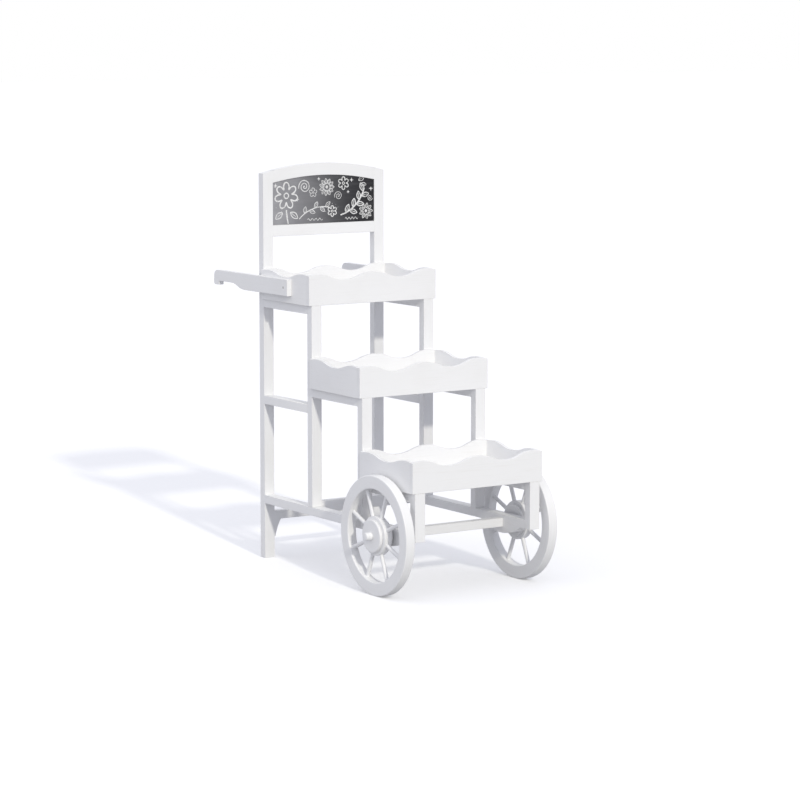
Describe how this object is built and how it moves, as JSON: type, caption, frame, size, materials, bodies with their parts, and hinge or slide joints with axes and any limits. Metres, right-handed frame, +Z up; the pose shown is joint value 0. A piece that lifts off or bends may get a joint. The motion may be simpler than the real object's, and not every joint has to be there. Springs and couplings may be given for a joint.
{
  "type": "flower cart stand",
  "caption": "Stepped flower cart stand in painted wood: scalloped display trays, arched chalkboard header, push handles behind and spoked wheels in front.",
  "frame": {"origin": "on the floor, at the middle of the cart's width and depth", "axes": "+X to the right seen from the front, the front faces -Y, +Z up"},
  "size_m": [0.627, 1.204, 1.3],
  "materials": {
    "painted_frame": "satin white paint over wood",
    "painted_tray": "satin white paint over wood",
    "painted_wheel": "satin white paint over wood",
    "chalkboard": "matt blackboard paint with chalk haze",
    "bare_wood": "unpainted hardwood dowel",
    "screw_steel": "zinc-plated steel"
  },
  "bodies": {
    "cart": {"header_arch_rail": "painted_frame", "header_lower_rail": "painted_frame", "chalkboard_panel": "chalkboard", "rear_apron": "painted_frame", "lower_cross_rail": "painted_frame", "axle_beam": "painted_frame", "rear_post_left": "painted_frame", "second_post_left": "painted_frame", "third_post_left": "painted_frame", "front_post_left": "painted_frame", "top_side_rail_left": "painted_frame", "rear_bay_rail_left": "painted_frame", "middle_side_rail_left": "painted_frame", "bottom_side_rail_left": "painted_frame", "lower_side_rail_left": "painted_frame", "axle_spacer_left": "painted_wheel", "axle_end_cap_left": "painted_wheel", "handle_left": "painted_frame", "rear_post_right": "painted_frame", "second_post_right": "painted_frame", "third_post_right": "painted_frame", "front_post_right": "painted_frame", "top_side_rail_right": "painted_frame", "rear_bay_rail_right": "painted_frame", "middle_side_rail_right": "painted_frame", "bottom_side_rail_right": "painted_frame", "lower_side_rail_right": "painted_frame", "axle_spacer_right": "painted_wheel", "axle_end_cap_right": "painted_wheel", "handle_right": "painted_frame", "top_tray_front": "painted_tray", "top_tray_back": "painted_tray", "top_tray_side_left": "painted_tray", "top_tray_side_right": "painted_tray", "top_tray_floor": "painted_tray", "middle_tray_front": "painted_tray", "middle_tray_back": "painted_tray", "middle_tray_side_left": "painted_tray", "middle_tray_side_right": "painted_tray", "middle_tray_floor": "painted_tray", "bottom_tray_front": "painted_tray", "bottom_tray_back": "painted_tray", "bottom_tray_side_left": "painted_tray", "bottom_tray_side_right": "painted_tray", "bottom_tray_floor": "painted_tray", "frame_dowels": "bare_wood", "tray_screws": "screw_steel", "handle_screws": "screw_steel"},
    "left_wheel": {"wheel_rim_left": "painted_wheel", "wheel_spokes_left": "painted_wheel", "wheel_hub_left": "painted_wheel", "hub_outer_cap_left": "painted_wheel", "hub_inner_cap_left": "painted_wheel"},
    "right_wheel": {"wheel_rim_right": "painted_wheel", "wheel_spokes_right": "painted_wheel", "wheel_hub_right": "painted_wheel", "hub_outer_cap_right": "painted_wheel", "hub_inner_cap_right": "painted_wheel"}
  },
  "joints": [
    {"name": "left_wheel_spin", "type": "hinge", "parent": "cart", "child": "left_wheel", "pos_m": [-0.268, -0.414, 0.188], "axis": [1, 0, 0], "continuous": true},
    {"name": "right_wheel_spin", "type": "hinge", "parent": "cart", "child": "right_wheel", "pos_m": [0.268, -0.414, 0.188], "axis": [1, 0, 0], "continuous": true}
  ]
}
